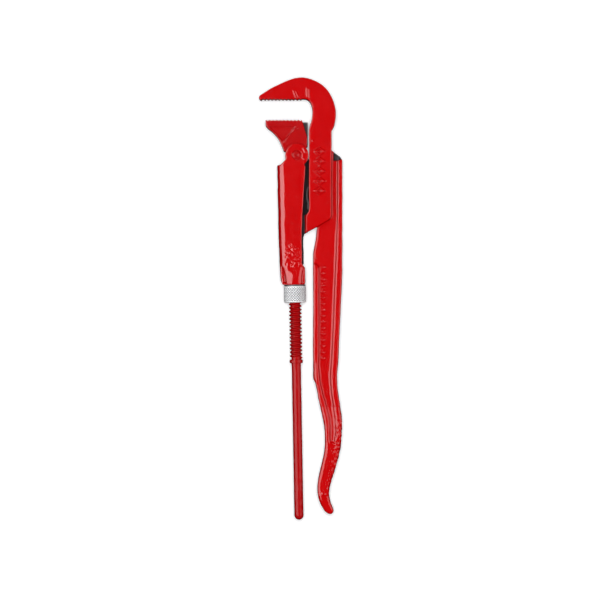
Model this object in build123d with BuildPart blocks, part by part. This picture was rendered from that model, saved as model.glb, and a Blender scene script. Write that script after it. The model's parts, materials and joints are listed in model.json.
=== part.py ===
from build123d import *
from math import cos, radians, sin
import os

# A corner pipe wrench of the Swedish pattern with 90 degree jaws, 1 1/2 inch size, lying flat.
# X runs across the two legs, from the jaw tips towards the back of the handle. Y runs along
# the wrench, towards the jaws. Z runs up through its thickness. Everything is drawn round the
# leg pivot, at X 0 and Y 0 with Z 0 on the middle plane, and moved home at the end: the origin
# is then under the middle of the whole wrench, on the surface that it lies on.

# ---- Driving dimensions, mm ----

# Hook leg: one forging of hook jaw, shank, toe, pivot tongue and handle
shank_edge = 14.8  # working edge of the shank, from the pivot
shank_width = 22.0
shank_thickness = 13.8
upper_teeth_height = 119.2  # tips of the hook's teeth, above the pivot
hook_reach = 48.6  # jaw tip, out from the shank's working edge
hook_height = 21.9  # top of the hook, above its teeth
throat_relief = 3.3  # hollow of the throat behind the shank's edge
shank_step_height = 90.0  # where the hook's swelling back meets the shank
toe_out = 3.1  # toe, out from the shank's working edge
toe_shoulder_height = 11.8
toe_bottom_height = -10.0
toe_slope = 0.58  # fall of the toe's slanted bottom, per mm towards the jaws
toe_corner = 3.2  # cut off the toe's back corner, up the shank's back
tongue_thickness = 5.6
tongue_radius = 8.0

# Handle: an I-beam with a back rib that starts beside the shank
handle_thickness = 12.0
web_thickness = 6.0
rib_out = 10.5  # back rib, out from the back of the shank
front_set_back = 4.1  # front of the handle, back from the shank's working edge
straight_end = -128.0  # the handle's front edge is straight down to here
rib_top_height = 71.5
rib_thickness = 4.5
back_flange = 6.5
front_flange = 5.5
rib_taper_height = 12.0  # below here the rib widens into the back flange
flange_start = -40.0  # rounded start of the front flange
handle_end = -283.5
# Stations down the grip: height, middle of the beam from the shank's working edge, and width
grip_stations = (
    (-95.0, 17.2, 26.2),
    (-131.0, 16.4, 24.5),
    (-152.0, 16.2, 22.6),
    (-172.0, 19.5, 20.0),
    (-196.0, 23.5, 17.6),
    (-214.0, 23.4, 15.6),
    (-232.0, 20.3, 14.5),
    (-254.0, 14.6, 12.6),
    (-266.0, 14.4, 11.0),
    (-276.0, 17.8, 10.4),
)
pocket_stations = 6  # the web pockets end at this station

# Teeth of both jaws
tooth_pitch = 3.5
tooth_depth = 1.7
hook_teeth = 11
jaw_teeth = 10

# Threaded leg
leg_tilt = 1.03  # lean of the leg towards the handle, degrees
leg_length = 288.8  # pivot to the rounded end of the grip
fork_shoulder = 1.3  # fork, out from the thread
fork_slot_depth = 18.5
fork_length = 21.5
neck_end = 34.0  # where the thread starts, below the pivot
thread_diameter = 12.4
thread_pitch = 3.6
thread_turns = 27
stop_ring_diameter = 12.8
stop_ring_width = 3.4
grip_diameter = 9.0
pivot_pin_diameter = 6.0

# Jaw sleeve: a channel open towards the shank, with a closed socket for the nut
cheek_thickness = 3.6
channel_back = 15.0  # back of the channel, out from the leg's axis
channel_wall = 4.0
channel_floor = -42.0
sleeve_bottom = -60.0
socket_wall = 1.7  # least wall of the closed socket round the nut's neck
socket_corner = 6.0
sleeve_back_radius = 7.0  # rounded corners along the back
far_cheek_out = 1.7  # front of the far cheek, out from the near one's
far_cheek_reach = 16.4  # far cheek beside the shank, which it passes under
far_cheek_drop = 4.0  # top of that reach, below the jaw pivot
cheek_front = 7.4  # front of the cheeks above the socket
eye_radius = 11.4
jaw_pivot_out = 4.2  # jaw pivot, out from the leg's axis
jaw_pivot_height = 65.4
rivet_diameter = 7.0
rivet_head_diameter = 9.6
rivet_head_depth = 1.2

# Lower jaw
jaw_face_height = 34.7  # tips of its teeth, above the jaw pivot
jaw_reach = 30.4  # jaw tip, out from the jaw pivot
jaw_thickness = 15.6
jaw_boss_radius = 7.6
guide_thickness = 7.0
guide_length = 26.0  # lower end of the guide, below the jaw's face
guide_gap = 1.1  # back of the jaw to the shank

# Adjusting nut and what holds it to the sleeve
nut_shoulder = 2.4  # from the neck out to the nut's knurled rim
nut_length = 16.1
neck_wall = 2.2  # of the nut's neck, outside the thread
nut_neck_length = 6.8
washer_thickness = 1.1
washer_margin = 0.3  # washer's rim, in from the nut's
ring_wire = 1.6
ring_depth = 3.0  # middle of the retaining ring, above the sleeve's bottom
ring_opening = 30.0  # degrees

# Leaf spring on the shank
spring_width = 9.0
spring_thickness = 1.3
spring_top_height = 35.0
spring_bow = 1.3
spring_rivet_diameter = 3.0
spring_rivet_depth = 4.5  # rivet's stem, into the shank
spring_rivet_head = 1.1
spring_rivet_rise = 4.6  # rivet, above the toe's shoulder

# Clearances
running = 0.05  # round running fits, on the radius
face_gap = 0.3  # faces that slide past one another
channel_gap = 0.4  # shank inside the sleeve's channel, each side
fork_gap = 0.6  # leg's fork inside the sleeve's channel, each side
bore_gap = 0.4  # thread inside the sleeve's and the nut's plain bores
end_gap = 0.1  # faces that bear on one another
thread_gap = 0.28  # between the leg's thread and the nut's
ridge_sink = 0.4  # foot of the thread's ridge, inside the core
stop_ring_gap = 0.5  # last turn of the ridge to the stop ring

# ---- Shared places ----

leg_plane = Plane.XY.rotated((0, 0, leg_tilt))
leg_axis = Axis(leg_plane.origin, leg_plane.y_dir)
jaw_pivot = leg_plane.from_local_coords((jaw_pivot_out, jaw_pivot_height))
shank_back = shank_edge + shank_width
handle_back = shank_back + rib_out
handle_front = shank_edge + front_set_back
channel_width = max(shank_thickness, thread_diameter) + 2 * channel_gap
sleeve_thickness = channel_width + 2 * cheek_thickness
jaw_boss_thickness = channel_width - 2 * face_gap
fork_thickness = channel_width - 2 * fork_gap
fork_slot = tongue_thickness + 2 * face_gap
fork_radius = thread_diameter / 2 + fork_shoulder
thread_depth = thread_pitch * 4 / 9
ridge_root = thread_pitch * 2 / 3  # width of the thread's ridge at its foot
ridge_crest = thread_pitch * 5 / 18
core_radius = thread_diameter / 2 - thread_depth
neck_radius = thread_diameter / 2 - 0.2  # plain neck between the fork and the thread
thread_end = -neck_end - thread_turns * thread_pitch
stop_ring_top = thread_end - ridge_root / 2 - stop_ring_gap
nut_top = sleeve_bottom - washer_thickness - 2 * end_gap
nut_bottom = nut_top - nut_length
socket_bore_radius = thread_diameter / 2 + bore_gap
nut_neck_radius = thread_diameter / 2 + neck_wall
nut_radius = nut_neck_radius + nut_shoulder
neck_bore_radius = nut_neck_radius + face_gap
socket_front = neck_bore_radius + socket_wall
lower_teeth_height = jaw_pivot.Y + jaw_face_height
toe_edge = shank_edge - toe_out


def both_faces(sketch, near, far, mode=Mode.SUBTRACT):
    """Extrudes a middle-plane sketch between two depths, on both faces of the forging."""
    for side in (1, -1):
        plane = Plane.XY.offset(side * near)
        extrude(plane.location * sketch, side * (far - near), dir=(0, 0, 1), mode=mode)


def teeth(count, start, height, lean, open_side):
    """Cuts a row of leaning teeth whose tips stand at one height."""
    with BuildSketch() as row:
        for index in range(count):
            left = start + index * tooth_pitch
            with BuildLine():
                Polyline(
                    (left, height + open_side),
                    (left, height),
                    (left + lean * tooth_pitch, height - open_side * tooth_depth),
                    (left + tooth_pitch, height),
                    (left + tooth_pitch, height + open_side),
                    close=True,
                )
            make_face()
    extrude(row.sketch, shank_thickness, both=True, mode=Mode.SUBTRACT)


def thread_ridge(foot, turns, gap, mode):
    """Sweeps the thread's ridge up the leg; a gap makes it the nut's wider groove."""
    centre = leg_plane.from_local_coords((0, foot))
    coil = Helix(
        thread_pitch, turns * thread_pitch, core_radius, centre, leg_plane.y_dir, mode=Mode.PRIVATE
    )
    taper = (ridge_root - ridge_crest) / 2 / thread_depth
    low, high = -ridge_sink, thread_depth + gap
    low_half = ridge_root / 2 - taper * low + gap
    high_half = ridge_root / 2 - taper * high + gap
    start = coil @ 0
    with BuildSketch(Plane(start, x_dir=start - centre, z_dir=coil % 0)) as section:
        with BuildLine():
            Polyline(
                (low, -low_half), (high, -high_half), (high, high_half), (low, low_half), close=True
            )
        make_face()
    sweep(section.sketch, path=coil, is_frenet=True, mode=mode)


# ---- Hook leg ----

hook_tip = shank_edge - hook_reach
hook_top = upper_teeth_height + hook_height
hook_teeth_start = hook_tip + 2.6
hook_teeth_end = hook_teeth_start + hook_teeth * tooth_pitch
tooth_root_height = upper_teeth_height + tooth_depth
toe_back_bottom = toe_bottom_height + toe_slope * (shank_back - toe_edge)

with BuildPart() as hook_leg:
    # Handle and back rib, full thickness
    back_line = [(shank_edge + x + width / 2, y) for y, x, width in grip_stations]
    front_line = [(shank_edge + x - width / 2, y) for y, x, width in grip_stations]
    grip_end_x = shank_edge + grip_stations[-1][1]
    with BuildSketch() as handle_face:
        with BuildLine():
            Polyline(
                (shank_edge + 8, -5),
                (shank_back - 1, rib_top_height),
                (handle_back - 2.2, rib_top_height - 7.3),
                (handle_back, rib_top_height - 10.5),
                (handle_back, -44),
            )
            Spline((handle_back, -44), *back_line, tangents=((0, -1), (0.5, -1)))
            Spline(
                back_line[-1],
                (grip_end_x + 6.4, handle_end + 2.9),
                (grip_end_x + 3.6, handle_end),
                (grip_end_x - 1.4, handle_end + 2.1),
                front_line[-1],
                tangents=((0.5, -1), (-0.6, 1)),
            )
            Spline(
                *reversed(front_line[2:]),
                (handle_front, straight_end),
                tangents=((-0.6, 1), (0, 1)),
            )
            Line((handle_front, straight_end), (handle_front, -33))
            Spline(
                (handle_front, -33),
                (shank_edge + 6.4, -17),
                (shank_edge + 8, -5),
                tangents=((0, 1), (0.3, 1)),
            )
        make_face()
    extrude(handle_face.sketch, handle_thickness / 2, both=True)

    # Web pockets in both faces, from beside the shank down to the grip. The toe is added over
    # them, and above the front flange they run out of the handle's front edge.
    pocket_back = [(x - back_flange, y) for x, y in back_line[:pocket_stations]]
    pocket_front = [(x + front_flange, y) for x, y in front_line[:pocket_stations]]
    pocket_edge = handle_front + front_flange
    rib_front = handle_back - rib_thickness
    pocket_top = toe_back_bottom + toe_corner
    with BuildSketch() as web_pocket:
        with BuildLine():
            Polyline(
                (shank_back - 1, rib_top_height + 3),
                (rib_front, rib_top_height + 3),
                (rib_front, rib_taper_height),
                (handle_back - back_flange, flange_start - 2),
            )
            Spline((handle_back - back_flange, flange_start - 2), *pocket_back)
            Line(pocket_back[-1], pocket_front[-1])
            Spline(
                *reversed(pocket_front[2:]),
                (pocket_edge, straight_end),
                tangents=((-0.3, 1), (0, 1)),
            )
            Polyline(
                (pocket_edge, straight_end),
                (pocket_edge, flange_start - 3.5),
                (pocket_edge - 1.6, flange_start - 0.6),
                (handle_front - 2, flange_start + 1.5),
                (handle_front - 2, pocket_top),
                (shank_back - 1, pocket_top),
                (shank_back - 1, rib_top_height + 3),
            )
        make_face()
    both_faces(web_pocket.sketch, web_thickness / 2, handle_thickness)

    # Hook jaw, shank and toe
    with BuildSketch() as head_face:
        with BuildLine():
            Polyline(
                (hook_tip + 2.4, upper_teeth_height),
                (hook_teeth_end, upper_teeth_height),
                (hook_teeth_end, tooth_root_height - 0.4),
                (shank_edge - 5, tooth_root_height - 0.4),
            )
            Spline(
                (shank_edge - 5, tooth_root_height - 0.4),
                (shank_edge + 1.2, upper_teeth_height - 2.2),
                (shank_edge + throat_relief, upper_teeth_height - 9.7),
                (shank_edge + 1.9, upper_teeth_height - 22),
                (shank_edge, shank_step_height),
                tangents=((1, 0), (-0.2, -1)),
            )
            Polyline(
                (shank_edge, shank_step_height),
                (shank_edge, toe_shoulder_height),
                (toe_edge, toe_shoulder_height - 4.8),
                (toe_edge, toe_bottom_height),
                (shank_back - toe_corner, toe_back_bottom - toe_slope * toe_corner),
                (shank_back - 0.3 * toe_corner, toe_back_bottom),
                (shank_back, toe_back_bottom + toe_corner),
                (shank_back, shank_step_height - 0.5),
                (shank_back + 1.4, shank_step_height + 1.5),
            )
            Spline(
                (shank_back + 1.4, shank_step_height + 1.5),
                (shank_back + 4.1, upper_teeth_height - 15.2),
                (shank_back + 1.3, upper_teeth_height + 0.3),
                (shank_back - 6.0, hook_top - 10),
                (shank_back - 17.8, hook_top - 2.4),
                (shank_back - 29.8, hook_top),
                (shank_back - 41.8, hook_top - 2.7),
                (hook_tip + 13.5, hook_top - 9.6),
                (hook_tip + 0.6, upper_teeth_height + 4.2),
                tangents=((0.5, 1), (-0.85, -0.55)),
            )
            ThreePointArc(
                (hook_tip + 0.6, upper_teeth_height + 4.2),
                (hook_tip + 0.1, upper_teeth_height + 1.6),
                (hook_tip + 2.4, upper_teeth_height),
            )
        make_face()
    extrude(head_face.sketch, shank_thickness / 2, both=True)
    teeth(hook_teeth, hook_teeth_start, upper_teeth_height, 0.3, -1)

    # Tongue that carries the leg pivot inside the sleeve
    with BuildSketch() as tongue_face:
        Circle(tongue_radius)
        with BuildLine():
            Polyline(
                (0, tongue_radius),
                (toe_edge + 2, tongue_radius),
                (toe_edge + 2, toe_bottom_height + 1.2 * toe_slope),
                (toe_edge - 5.5, toe_bottom_height - 5.5 * toe_slope),
                (-2, -0.95 * tongue_radius),
                (0, 0),
                close=True,
            )
        make_face()
    extrude(tongue_face.sketch, tongue_thickness / 2, both=True)
    Cylinder(pivot_pin_diameter / 2 + running, 2 * tongue_thickness, mode=Mode.SUBTRACT)

    # Blind hole in the shank's working edge for the spring's rivet
    spring_foot_height = toe_shoulder_height + spring_rivet_rise
    with BuildSketch(Plane.YZ.offset(shank_edge)) as rivet_hole:
        with Locations((spring_foot_height, 0)):
            Circle(spring_rivet_diameter / 2)
    extrude(rivet_hole.sketch, spring_rivet_depth + face_gap, mode=Mode.SUBTRACT)

# ---- Threaded leg ----

with BuildPart() as threaded_leg:
    # Fork round the tongue
    with BuildSketch(leg_plane) as fork_face:
        Circle(fork_radius)
        with Locations((0, -fork_length / 2)):
            Rectangle(2 * fork_radius, fork_length)
    extrude(fork_face.sketch, fork_thickness / 2, both=True)

    # Neck, thread core and plain round grip, turned about the leg's axis
    grip_radius = grip_diameter / 2
    ring_bottom = stop_ring_top - stop_ring_width
    with BuildSketch(leg_plane) as leg_side:
        with BuildLine():
            Polyline(
                (0, -fork_length + 3),
                (neck_radius, -fork_length + 3),
                (neck_radius, -neck_end),
                (core_radius, -neck_end - 1.4),
                (core_radius, ring_bottom - 2.5),
                (grip_radius, ring_bottom - 6),
                (grip_radius, -leg_length + grip_radius),
            )
            ThreePointArc(
                (grip_radius, -leg_length + grip_radius),
                (grip_radius * cos(radians(45)), -leg_length + grip_radius * (1 - sin(radians(45)))),
                (0, -leg_length),
            )
            Line((0, -leg_length), (0, -fork_length + 3))
        make_face()
    revolve(leg_side.sketch, leg_axis)
    thread_ridge(thread_end, thread_turns - 0.5, 0, Mode.ADD)

    # Slot for the tongue, and the pin's hole
    with BuildSketch(leg_plane.rotated((0, 90, 0))) as slot_face:
        with Locations((0, -fork_slot_depth + 20)):
            Rectangle(fork_slot, 40)
    extrude(slot_face.sketch, 20, both=True, mode=Mode.SUBTRACT)
    Cylinder(pivot_pin_diameter / 2, 2 * fork_thickness, mode=Mode.SUBTRACT)

with BuildPart() as leg_pivot_pin:
    Cylinder(pivot_pin_diameter / 2, fork_thickness)
    chamfer(leg_pivot_pin.edges().filter_by(GeomType.CIRCLE), 0.5)

with BuildPart() as thread_stop_ring:
    stop_ring_bore = core_radius + running
    stop_ring_radius = stop_ring_diameter / 2
    with BuildSketch(leg_plane) as stop_side:
        with Locations(((stop_ring_bore + stop_ring_radius) / 2, stop_ring_top - stop_ring_width / 2)):
            Rectangle(stop_ring_radius - stop_ring_bore, stop_ring_width)
    revolve(stop_side.sketch, leg_axis)
    chamfer(thread_stop_ring.edges().filter_by(GeomType.CIRCLE).sort_by(SortBy.RADIUS)[-2:], 0.5)

# ---- Jaw sleeve ----

with BuildPart() as jaw_sleeve:
    notch_height = jaw_pivot_height - 9.2
    with BuildSketch(leg_plane) as sleeve_side:
        with BuildLine():
            Polyline(
                (-channel_back + 2.9, notch_height),
                (-channel_back, notch_height - 0.2),
                (-channel_back, -13),
                (-channel_back + 0.9, channel_floor - 4),
                (-channel_back + 1.5, sleeve_bottom + 4),
                (-channel_back + 3.2, sleeve_bottom),
                (socket_front - 1, sleeve_bottom),
                (socket_front, sleeve_bottom + 1.5),
                (socket_front - 0.1, channel_floor - 2),
                (cheek_front, channel_floor + 2),
                (cheek_front, -15),
                (cheek_front + 1.2, 8),
                (jaw_pivot_out + 8.2, jaw_pivot_height - 11),
                (jaw_pivot_out, jaw_pivot_height),
                (jaw_pivot_out - eye_radius + 0.2, jaw_pivot_height - 4),
            )
            ThreePointArc(
                (jaw_pivot_out - eye_radius + 0.2, jaw_pivot_height - 4),
                (-channel_back + 5.6, notch_height + 2.1),
                (-channel_back + 2.9, notch_height),
            )
        make_face()
        with Locations((jaw_pivot_out, jaw_pivot_height)):
            Circle(eye_radius)
    extrude(sleeve_side.sketch, sleeve_thickness / 2, both=True)
    rim = jaw_sleeve.edges().filter_by(
        lambda edge: abs(abs(edge.center().Z) - sleeve_thickness / 2) < 0.01
    )
    back_rim = rim.filter_by(
        lambda edge: leg_plane.to_local_coords(edge.center()).X < -channel_back + 1.3
    )
    fillet(back_rim, sleeve_back_radius)
    socket_plane = Plane(
        leg_plane.from_local_coords((0, sleeve_bottom - 1)), x_dir=leg_plane.x_dir, z_dir=leg_plane.y_dir
    )
    with BuildSketch(socket_plane) as socket_corners:
        with Locations((socket_front / 2, 0)):
            Rectangle(socket_front + 2, sleeve_thickness + 2)
        RectangleRounded(2 * socket_front, sleeve_thickness, socket_corner, mode=Mode.SUBTRACT)
    extrude(socket_corners.sketch, channel_floor + 1 - sleeve_bottom, mode=Mode.SUBTRACT)

    # Channel, open at the top and towards the shank
    inside = -channel_back + channel_wall
    with BuildSketch(leg_plane) as channel_side:
        with BuildLine():
            Polyline(
                (inside, channel_floor),
                (inside, jaw_pivot_height + 20),
                (jaw_pivot_out + 20, jaw_pivot_height + 20),
                (jaw_pivot_out + 20, channel_floor + 4),
                (socket_front - 6, channel_floor),
                close=True,
            )
        make_face()
    extrude(channel_side.sketch, channel_width / 2, both=True, mode=Mode.SUBTRACT)
    with BuildSketch(leg_plane) as notch_side:
        with Locations((-channel_back, notch_height + 10)):
            Rectangle(2 * channel_wall + 2, 20)
    extrude(notch_side.sketch, channel_width / 2, both=True, mode=Mode.SUBTRACT)

    # Far cheek, wider than the near one: it passes under the shank and closes the gap
    far_front = cheek_front + far_cheek_out
    with BuildSketch(leg_plane.offset(-sleeve_thickness / 2)) as far_cheek:
        with BuildLine():
            Polyline(
                (0, channel_floor + 2),
                (far_front, channel_floor + 2),
                (far_front, -14),
                (far_cheek_reach, 12),
                (far_cheek_reach, jaw_pivot_height - far_cheek_drop),
                (jaw_pivot_out + eye_radius - 2, jaw_pivot_height),
                (0, jaw_pivot_height - 5),
                close=True,
            )
        make_face()
    extrude(far_cheek.sketch, cheek_thickness)

    # Bores for the thread and the nut's neck, with the groove for its ring
    neck_room = nut_neck_length + face_gap
    with BuildSketch(leg_plane) as bore_side:
        with BuildLine():
            Polyline(
                (0, sleeve_bottom - 1),
                (neck_bore_radius, sleeve_bottom - 1),
                (neck_bore_radius, sleeve_bottom + neck_room),
                (socket_bore_radius, sleeve_bottom + neck_room),
                (socket_bore_radius, channel_floor + 1),
                (0, channel_floor + 1),
                close=True,
            )
        make_face()
    revolve(bore_side.sketch, leg_axis, mode=Mode.SUBTRACT)
    ring_radius = (nut_neck_radius + neck_bore_radius) / 2
    ring_height = sleeve_bottom + ring_depth
    with BuildSketch(leg_plane) as sleeve_groove:
        with Locations((ring_radius, ring_height)):
            Circle(ring_wire / 2 + end_gap)
    revolve(sleeve_groove.sketch, leg_axis, mode=Mode.SUBTRACT)

    # Rivet hole through both cheeks, with a sunk seat for each head
    with Locations(jaw_pivot):
        Cylinder(rivet_diameter / 2, 2 * sleeve_thickness, mode=Mode.SUBTRACT)
    for side in (1, -1):
        with Locations((jaw_pivot.X, jaw_pivot.Y, side * sleeve_thickness / 2)):
            Cylinder(rivet_head_diameter / 2, 2 * rivet_head_depth, mode=Mode.SUBTRACT)

# ---- Jaw rivet ----

with BuildPart() as jaw_rivet:
    head_radius = rivet_head_diameter / 2
    half = sleeve_thickness / 2
    with BuildSketch(Plane.XZ.offset(-jaw_pivot.Y)) as rivet_side:
        with BuildLine():
            Polyline(
                (jaw_pivot.X, -half + 0.5),
                (jaw_pivot.X + 1.6, -half),
                (jaw_pivot.X + head_radius - 0.6, -half),
                (jaw_pivot.X + head_radius, -half + 0.6),
                (jaw_pivot.X + head_radius, -half + rivet_head_depth),
                (jaw_pivot.X + rivet_diameter / 2, -half + rivet_head_depth),
                (jaw_pivot.X + rivet_diameter / 2, half - rivet_head_depth),
                (jaw_pivot.X + head_radius, half - rivet_head_depth),
                (jaw_pivot.X + head_radius, half - 0.6),
                (jaw_pivot.X + head_radius - 0.6, half),
                (jaw_pivot.X + 1.6, half),
                (jaw_pivot.X, half - 0.5),
                close=True,
            )
        make_face()
    revolve(rivet_side.sketch, Axis(jaw_pivot, (0, 0, 1)))

# ---- Lower jaw ----

with BuildPart() as lower_jaw:
    px, py = jaw_pivot.X, jaw_pivot.Y
    face = lower_teeth_height
    jaw_tip = px - jaw_reach
    jaw_root = px + 4.7
    hollow = eye_radius + 1.2
    with BuildSketch() as jaw_side:
        with BuildLine():
            Polyline((jaw_tip, face), (jaw_tip, face - 5.8), (jaw_tip + 1.9, face - 8.3))
            Spline(
                (jaw_tip + 1.9, face - 8.3),
                (jaw_tip + 10.5, face - 16),
                (jaw_tip + 15, face - 23.8),
                (px - 12.4, py + 3.2),
                tangents=((0.8, -0.6), (0.35, -1)),
            )
            ThreePointArc(
                (px - 12.4, py + 3.2),
                (px - 5.5, py + 11.6),
                (px + hollow * sin(radians(50)), py + hollow * cos(radians(50))),
            )
            Line(
                (px + hollow * sin(radians(50)), py + hollow * cos(radians(50))),
                (px + 9.9, face - 17.5),
            )
            Line((px + 9.9, face - 17.5), (jaw_root, face))
            Line((jaw_root, face), (jaw_tip, face))
        make_face()
    extrude(jaw_side.sketch, jaw_thickness / 2, both=True)
    teeth(jaw_teeth, jaw_tip + 0.1, face, 0.7, 1)

    # Boss between the sleeve's cheeks
    with BuildSketch() as boss_side:
        with Locations((px, py)):
            Circle(jaw_boss_radius)
        with BuildLine():
            Polyline(
                (px - jaw_boss_radius, py),
                (px - 12, py + 4.4),
                (px - 9, py + 13.4),
                (px + 6, py + 15),
                (px + 9.4, py + 9),
                (px + jaw_boss_radius, py),
                close=True,
            )
        make_face()
    extrude(boss_side.sketch, jaw_boss_thickness / 2, both=True)

    # Bare steel back that guides the jaw along the shank
    guide_front = shank_edge - guide_gap
    with BuildSketch() as guide_side:
        with BuildLine():
            Polyline(
                (jaw_root - 2, face - 2.5),
                (guide_front, face - 2.5),
                (guide_front, face - guide_length),
                (px + 8, face - guide_length - 2),
                (jaw_root - 2, face - 17),
                close=True,
            )
        make_face()
    extrude(guide_side.sketch, guide_thickness / 2, both=True)
    with Locations(jaw_pivot):
        Cylinder(rivet_diameter / 2 + running, 2 * jaw_thickness, mode=Mode.SUBTRACT)

# ---- Adjusting nut, thrust washer and retaining ring ----

with BuildPart() as adjusting_nut:
    nut_bore = core_radius + bore_gap
    with BuildSketch(leg_plane) as nut_side:
        with BuildLine():
            Polyline(
                (nut_bore, nut_bottom),
                (nut_radius - 1, nut_bottom),
                (nut_radius, nut_bottom + 1),
                (nut_radius, nut_top - 1),
                (nut_radius - 1, nut_top),
                (nut_neck_radius, nut_top),
                (nut_neck_radius, sleeve_bottom + nut_neck_length),
                (socket_bore_radius, sleeve_bottom + nut_neck_length),
                (socket_bore_radius, nut_top),
                (nut_bore, nut_top),
                close=True,
            )
        make_face()
    revolve(nut_side.sketch, leg_axis)
    first_turn = int((nut_bottom - thread_end) / thread_pitch) - 1
    groove_turns = int(nut_length / thread_pitch) + 3
    groove_foot = thread_end + first_turn * thread_pitch
    thread_ridge(groove_foot, groove_turns, thread_gap, Mode.SUBTRACT)
    with BuildSketch(leg_plane) as nut_groove:
        with Locations((ring_radius, ring_height)):
            Circle(ring_wire / 2 + end_gap)
    revolve(nut_groove.sketch, leg_axis, mode=Mode.SUBTRACT)

with BuildPart() as thrust_washer:
    with BuildSketch(leg_plane) as washer_side:
        with BuildLine():
            Polyline(
                (neck_bore_radius, sleeve_bottom - end_gap),
                (nut_radius - washer_margin, sleeve_bottom - end_gap),
                (nut_radius - washer_margin, nut_top + end_gap),
                (neck_bore_radius, nut_top + end_gap),
                close=True,
            )
        make_face()
    revolve(washer_side.sketch, leg_axis)

with BuildPart() as nut_retaining_ring:
    with BuildSketch(leg_plane) as wire:
        with Locations((ring_radius, ring_height)):
            Circle(ring_wire / 2)
    revolve(wire.sketch, leg_axis, 360 - ring_opening)

# ---- Leaf spring and its rivet ----

with BuildPart() as leaf_spring:
    spring_back = shank_edge - end_gap
    spring_face = spring_back - spring_thickness
    foot_low = spring_foot_height - 3
    foot_high = spring_foot_height + 3.5
    bow_middle = (foot_high + spring_top_height) / 2
    with BuildSketch() as spring_side:
        with BuildLine():
            Line((spring_back, foot_low), (spring_back, foot_high))
            ThreePointArc(
                (spring_back, foot_high),
                (spring_back - spring_bow, bow_middle),
                (spring_back, spring_top_height),
            )
            Line((spring_back, spring_top_height), (spring_face, spring_top_height))
            ThreePointArc(
                (spring_face, spring_top_height),
                (spring_face - spring_bow, bow_middle),
                (spring_face, foot_high),
            )
            Line((spring_face, foot_high), (spring_face, foot_low))
            Line((spring_face, foot_low), (spring_back, foot_low))
        make_face()
    extrude(spring_side.sketch, spring_width / 2, both=True)
    with BuildSketch(Plane.YZ.offset(shank_edge)) as spring_hole:
        with Locations((spring_foot_height, 0)):
            Circle(spring_rivet_diameter / 2 + running)
    extrude(spring_hole.sketch, -2 * spring_thickness, mode=Mode.SUBTRACT)

with BuildPart() as spring_rivet:
    rivet_end = shank_edge + spring_rivet_depth
    with BuildSketch(Plane.YZ.offset(rivet_end)) as rivet_stem:
        with Locations((spring_foot_height, 0)):
            Circle(spring_rivet_diameter / 2)
    extrude(rivet_stem.sketch, spring_face - rivet_end)
    with BuildSketch(Plane.YZ.offset(spring_face)) as rivet_head:
        with Locations((spring_foot_height, 0)):
            Circle(spring_rivet_diameter)
    extrude(rivet_head.sketch, -spring_rivet_head)
    fillet(spring_rivet.edges().sort_by(Axis.X)[0], 0.9)

# ---- Move home and write ----

pieces = {
    "hook_leg": hook_leg,
    "threaded_leg": threaded_leg,
    "leg_pivot_pin": leg_pivot_pin,
    "thread_stop_ring": thread_stop_ring,
    "jaw_sleeve": jaw_sleeve,
    "jaw_rivet": jaw_rivet,
    "lower_jaw": lower_jaw,
    "adjusting_nut": adjusting_nut,
    "thrust_washer": thrust_washer,
    "nut_retaining_ring": nut_retaining_ring,
    "leaf_spring": leaf_spring,
    "spring_rivet": spring_rivet,
}

solids = [Compound(piece.part.solids()) for piece in pieces.values()]
whole = Compound(children=solids).bounding_box()
home = Location((-whole.center().X, -whole.center().Y, -whole.min.Z))
os.makedirs("parts", exist_ok=True)
for name, piece in pieces.items():
    placed = piece.part.moved(home)
    placed.label = name
    export_step(placed, f"parts/{name}.step")

nut_middle = leg_plane.from_local_coords((0, (nut_top + nut_bottom) / 2))
print("leg pivot", home.position)
print("jaw pivot", home.position + jaw_pivot)
print("leg axis", leg_plane.y_dir, "nut middle", home.position + nut_middle)
print("overall", whole.size)
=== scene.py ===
"""Looks of a corner pipe wrench of the Swedish pattern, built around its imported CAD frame.

The forgings, the pressed sleeve and the threaded leg are skinned again from their CAD solids
so that their edges are rounded, their faces slightly uneven and their relief is real geometry.
The nut and the rivet are turned. Small hardware keeps its CAD shape and gets a finish.
"""

import json
import logging
import math
from collections.abc import Callable, Sequence
from dataclasses import dataclass
from enum import Enum

import bmesh
import bpy
import numpy as np
from mathutils import Matrix, Vector, noise


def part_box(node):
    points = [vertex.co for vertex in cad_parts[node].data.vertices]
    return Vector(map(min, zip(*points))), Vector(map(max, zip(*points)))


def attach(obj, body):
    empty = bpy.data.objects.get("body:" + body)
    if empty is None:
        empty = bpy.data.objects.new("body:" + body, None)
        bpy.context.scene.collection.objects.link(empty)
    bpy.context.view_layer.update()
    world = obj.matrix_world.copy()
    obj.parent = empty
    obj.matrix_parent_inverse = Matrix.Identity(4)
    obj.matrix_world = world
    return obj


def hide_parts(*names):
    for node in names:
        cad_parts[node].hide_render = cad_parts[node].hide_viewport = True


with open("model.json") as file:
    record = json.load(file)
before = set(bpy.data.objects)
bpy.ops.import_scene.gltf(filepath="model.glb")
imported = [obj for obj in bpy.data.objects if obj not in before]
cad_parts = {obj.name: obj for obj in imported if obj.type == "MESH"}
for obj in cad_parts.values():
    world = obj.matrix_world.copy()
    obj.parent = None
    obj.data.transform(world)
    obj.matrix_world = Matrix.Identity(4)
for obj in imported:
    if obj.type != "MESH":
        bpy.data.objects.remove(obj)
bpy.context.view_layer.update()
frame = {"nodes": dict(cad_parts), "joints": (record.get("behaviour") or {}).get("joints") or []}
LOG = logging.getLogger("wrench")
MM = 0.001


class Body(Enum):
    """The bodies of the frame that pieces ride on."""

    HOOK = "hook_leg"
    LEG = "threaded_leg"
    SLEEVE = "jaw_sleeve"
    JAW = "lower_jaw"
    NUT = "adjusting_nut"


class Slot(Enum):
    """The record's material slots."""

    RED = "red_paint"
    ZINC = "zinc_nut"
    DARK = "dark_steel"


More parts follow.
